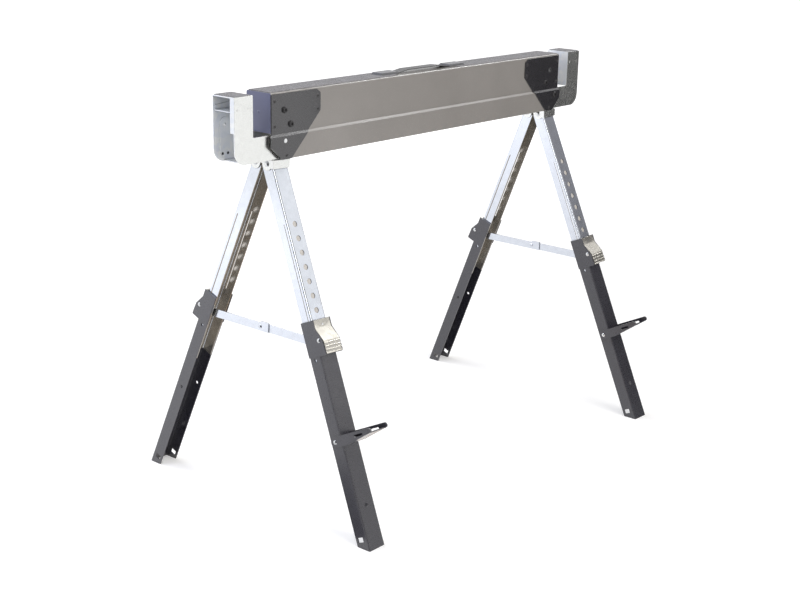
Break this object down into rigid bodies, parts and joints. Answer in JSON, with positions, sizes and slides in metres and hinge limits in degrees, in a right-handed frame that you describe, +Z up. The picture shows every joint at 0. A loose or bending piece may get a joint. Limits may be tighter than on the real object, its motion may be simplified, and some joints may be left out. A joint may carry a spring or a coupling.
{
  "type": "builders trestle",
  "caption": "Folding steel builders trestle: channel beam with grip top, end brackets with timber slots, splayed telescopic legs with latch levers, fold-out support arms and folding braces.",
  "frame": {"origin": "on the floor under the middle of the beam", "axes": "+X along the beam, -Y towards the legs with the support arms, +Z up"},
  "size_m": [1.07, 0.6118, 0.8053],
  "materials": {
    "beam_paint": "satin powder coat",
    "grip_tape": "granular anti-slip tape",
    "end_cap_paint": "satin powder coat",
    "zinc_hardware": "zinc plated",
    "plate_paint": "satin powder coat",
    "black_bolts": "black oxide",
    "handle_web": "moulded strap",
    "handle_ends": "moulded",
    "galvanised_steel": "bright galvanised sheet",
    "satin_zinc": "satin zinc plated sheet",
    "leg_paint": "satin powder coat",
    "lever_zinc": "zinc plated"
  },
  "bodies": {
    "beam": {"beam_shell": "beam_paint", "grip_strips": "grip_tape", "end_caps": "end_cap_paint", "cap_rivets": "end_cap_paint", "plate_front_left": "plate_paint", "plate_front_right": "plate_paint", "plate_back_left": "plate_paint", "plate_back_right": "plate_paint", "plate_rivets": "plate_paint", "swing_bolt_left": "black_bolts", "swing_bolt_right": "black_bolts", "stop_bolts": "black_bolts", "handle_strap": "handle_web", "handle_caps": "handle_ends"},
    "end_left": {"bracket_left": "satin_zinc", "post_screws_left": "black_bolts", "shelf_left": "satin_zinc", "bracket_grip_left": "grip_tape", "hanger_left": "satin_zinc", "hinge_pins_left": "zinc_hardware"},
    "end_right": {"bracket_right": "satin_zinc", "post_screws_right": "black_bolts", "shelf_right": "satin_zinc", "bracket_grip_right": "grip_tape", "hanger_right": "satin_zinc", "hinge_pins_right": "zinc_hardware"},
    "upper_fl": {"upper_leg_fl": "galvanised_steel"},
    "lower_fl": {"lower_leg_fl": "leg_paint", "clip_fl": "leg_paint", "lever_pin_fl": "zinc_hardware", "arm_rivets_fl": "zinc_hardware"},
    "latch_fl": {"lever_fl": "lever_zinc", "lock_pin_fl": "zinc_hardware"},
    "brace_fl": {"link_fl": "galvanised_steel"},
    "support_fl": {"arm_fl": "leg_paint"},
    "upper_bl": {"upper_leg_bl": "galvanised_steel"},
    "lower_bl": {"lower_leg_bl": "leg_paint", "clip_bl": "leg_paint", "lever_pin_bl": "zinc_hardware"},
    "latch_bl": {"lever_bl": "lever_zinc", "lock_pin_bl": "zinc_hardware"},
    "brace_bl": {"link_bl": "galvanised_steel"},
    "upper_fr": {"upper_leg_fr": "galvanised_steel"},
    "lower_fr": {"lower_leg_fr": "leg_paint", "clip_fr": "leg_paint", "lever_pin_fr": "zinc_hardware", "arm_rivets_fr": "zinc_hardware"},
    "latch_fr": {"lever_fr": "lever_zinc", "lock_pin_fr": "zinc_hardware"},
    "brace_fr": {"link_fr": "galvanised_steel"},
    "support_fr": {"arm_fr": "leg_paint"},
    "upper_br": {"upper_leg_br": "galvanised_steel"},
    "lower_br": {"lower_leg_br": "leg_paint", "clip_br": "leg_paint", "lever_pin_br": "zinc_hardware"},
    "latch_br": {"lever_br": "lever_zinc", "lock_pin_br": "zinc_hardware"},
    "brace_br": {"link_br": "galvanised_steel"}
  },
  "joints": [
    {"name": "swing_left", "type": "hinge", "parent": "beam", "child": "end_left", "pos_m": [-0.416, 0, 0.7658], "axis": [0, -1, 0], "range_deg": [0, 25]},
    {"name": "swing_right", "type": "hinge", "parent": "beam", "child": "end_right", "pos_m": [0.4315, 0, 0.7098], "axis": [0, 1, 0], "range_deg": [0, 25]},
    {"name": "spread_fl", "type": "hinge", "parent": "end_left", "child": "upper_fl", "pos_m": [-0.423, -0.0152, 0.6674], "axis": [0.999, 0, -0.0436], "range_deg": [0, 21]},
    {"name": "brace_fl", "type": "hinge", "parent": "upper_fl", "child": "brace_fl", "pos_m": [-0.43665, -0.14279, 0.3547], "axis": [0.999, 0, -0.0436], "range_deg": [0, 60.13]},
    {"name": "height_fl", "type": "slide", "parent": "upper_fl", "child": "lower_fl", "axis": [0.0403, 0.3827, 0.923], "range_m": [0, 0.189]},
    {"name": "latch_fl", "type": "hinge", "parent": "lower_fl", "child": "latch_fl", "pos_m": [-0.43618, -0.16114, 0.36553], "axis": [0.999, 0, -0.0436], "range_deg": [0, 18], "stiffness_Nm_per_rad": 1, "springref_deg": -5.73},
    {"name": "arm_fl", "type": "hinge", "parent": "lower_fl", "child": "support_fl", "pos_m": [-0.4441, -0.2124, 0.18421], "axis": [-0.999, 0, 0.0436], "range_deg": [0, 45]},
    {"name": "spread_bl", "type": "hinge", "parent": "end_left", "child": "upper_bl", "pos_m": [-0.423, 0.0152, 0.6674], "axis": [-0.999, 0, 0.0436], "range_deg": [0, 21]},
    {"name": "brace_bl", "type": "hinge", "parent": "upper_bl", "child": "brace_bl", "pos_m": [-0.43665, 0.14279, 0.3547], "axis": [-0.999, 0, 0.0436], "range_deg": [0, 60.13]},
    {"name": "height_bl", "type": "slide", "parent": "upper_bl", "child": "lower_bl", "axis": [0.0403, -0.3827, 0.923], "range_m": [0, 0.189]},
    {"name": "latch_bl", "type": "hinge", "parent": "lower_bl", "child": "latch_bl", "pos_m": [-0.43618, 0.16114, 0.36553], "axis": [-0.999, 0, 0.0436], "range_deg": [0, 18], "stiffness_Nm_per_rad": 1, "springref_deg": -5.73},
    {"name": "spread_fr", "type": "hinge", "parent": "end_right", "child": "upper_fr", "pos_m": [0.423, -0.0152, 0.6674], "axis": [0.999, 0, 0.0436], "range_deg": [0, 21]},
    {"name": "brace_fr", "type": "hinge", "parent": "upper_fr", "child": "brace_fr", "pos_m": [0.43665, -0.14279, 0.3547], "axis": [0.999, 0, 0.0436], "range_deg": [0, 60.13]},
    {"name": "height_fr", "type": "slide", "parent": "upper_fr", "child": "lower_fr", "axis": [-0.0403, 0.3827, 0.923], "range_m": [0, 0.189]},
    {"name": "latch_fr", "type": "hinge", "parent": "lower_fr", "child": "latch_fr", "pos_m": [0.43618, -0.16114, 0.36553], "axis": [0.999, 0, 0.0436], "range_deg": [0, 18], "stiffness_Nm_per_rad": 1, "springref_deg": -5.73},
    {"name": "arm_fr", "type": "hinge", "parent": "lower_fr", "child": "support_fr", "pos_m": [0.4441, -0.2124, 0.18421], "axis": [-0.999, 0, -0.0436], "range_deg": [0, 45]},
    {"name": "spread_br", "type": "hinge", "parent": "end_right", "child": "upper_br", "pos_m": [0.423, 0.0152, 0.6674], "axis": [-0.999, 0, -0.0436], "range_deg": [0, 21]},
    {"name": "brace_br", "type": "hinge", "parent": "upper_br", "child": "brace_br", "pos_m": [0.43665, 0.14279, 0.3547], "axis": [-0.999, 0, -0.0436], "range_deg": [0, 60.13]},
    {"name": "height_br", "type": "slide", "parent": "upper_br", "child": "lower_br", "axis": [-0.0403, -0.3827, 0.923], "range_m": [0, 0.189]},
    {"name": "latch_br", "type": "hinge", "parent": "lower_br", "child": "latch_br", "pos_m": [0.43618, 0.16114, 0.36553], "axis": [-0.999, 0, -0.0436], "range_deg": [0, 18], "stiffness_Nm_per_rad": 1, "springref_deg": -5.73}
  ],
  "couplings": [
    {"joint": "spread_bl", "follows": "spread_fl", "ratio": 1},
    {"joint": "brace_fl", "follows": "spread_fl", "ratio": 2.8608},
    {"joint": "brace_bl", "follows": "spread_fl", "ratio": 2.8608},
    {"joint": "spread_br", "follows": "spread_fr", "ratio": 1},
    {"joint": "brace_fr", "follows": "spread_fr", "ratio": 2.8608},
    {"joint": "brace_br", "follows": "spread_fr", "ratio": 2.8608}
  ]
}
